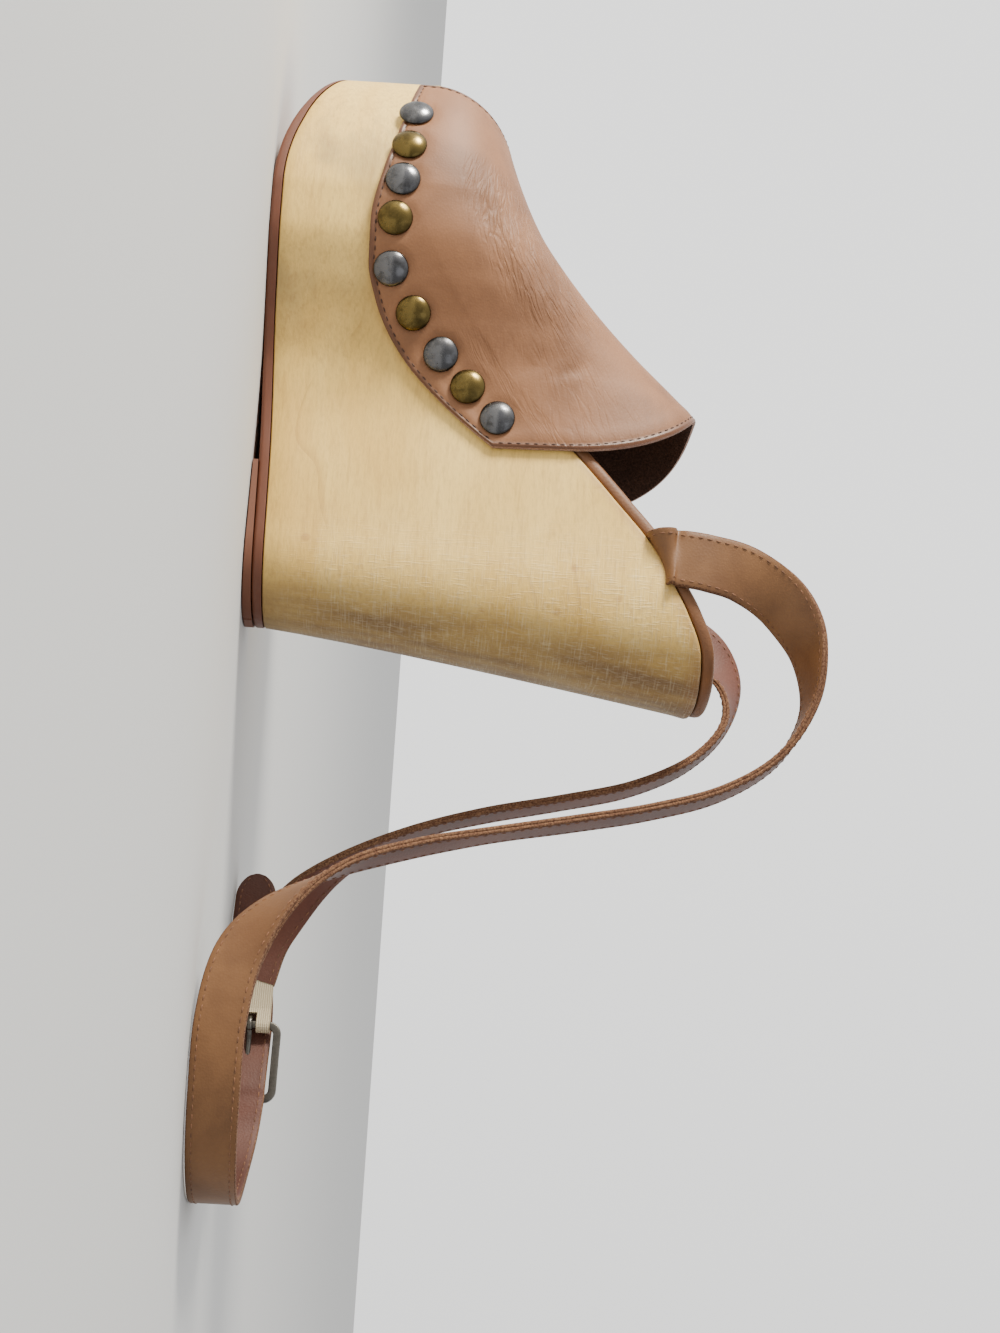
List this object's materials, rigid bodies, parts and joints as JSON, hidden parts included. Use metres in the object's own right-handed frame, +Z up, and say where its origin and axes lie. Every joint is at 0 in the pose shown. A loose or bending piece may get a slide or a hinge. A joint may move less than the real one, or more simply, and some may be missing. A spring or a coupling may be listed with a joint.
{
  "type": "wooden wedge sandal",
  "caption": "Open-toed wooden wedge sandal for the right foot, with a studded tan leather vamp, a leather sole and a slack ankle strap with a small buckle",
  "frame": {"origin": "middle of the underside of the rubber heel lift, on the plane that the shoe stands on", "axes": "+X along the sole from heel to toe, +Y to the shoe's own left, which is the inner side of this right shoe, +Z up from the floor"},
  "size_m": [0.414, 0.1361, 0.2005],
  "materials": {
    "pale_wood": "fine sanded, oiled, slightly worn",
    "brown_rubber": "matte, ribbed",
    "sole_leather": "smooth, scuffed at the ball",
    "sock_leather": "fine grain",
    "vamp_leather": "soft semi-matte with creases",
    "strap_leather": "soft semi-matte",
    "cream_elastic": "ribbed weave",
    "aged_silver": "antique, darkened",
    "aged_brass": "antique, darkened",
    "gunmetal": "dark plated, worn at the edges"
  },
  "bodies": {
    "root": {"heel_lift": "brown_rubber", "outsole": "sole_leather", "wedge": "pale_wood", "insole": "sock_leather", "upper": "vamp_leather", "strap_long": "strap_leather", "strap_short": "strap_leather", "elastic_loop": "cream_elastic", "buckle_frame": "gunmetal", "buckle_prong": "gunmetal", "stud_medial_01": "aged_silver", "stud_medial_02": "aged_brass", "stud_medial_03": "aged_silver", "stud_medial_04": "aged_brass", "stud_medial_05": "aged_silver", "stud_medial_06": "aged_brass", "stud_medial_07": "aged_silver", "stud_medial_08": "aged_brass", "stud_medial_09": "aged_silver", "stud_lateral_01": "aged_silver", "stud_lateral_02": "aged_brass", "stud_lateral_03": "aged_silver", "stud_lateral_04": "aged_brass", "stud_lateral_05": "aged_silver", "stud_lateral_06": "aged_brass", "stud_lateral_07": "aged_silver", "stud_lateral_08": "aged_brass", "stud_lateral_09": "aged_silver", "stud_lateral_10": "aged_brass"}
  },
  "joints": []
}
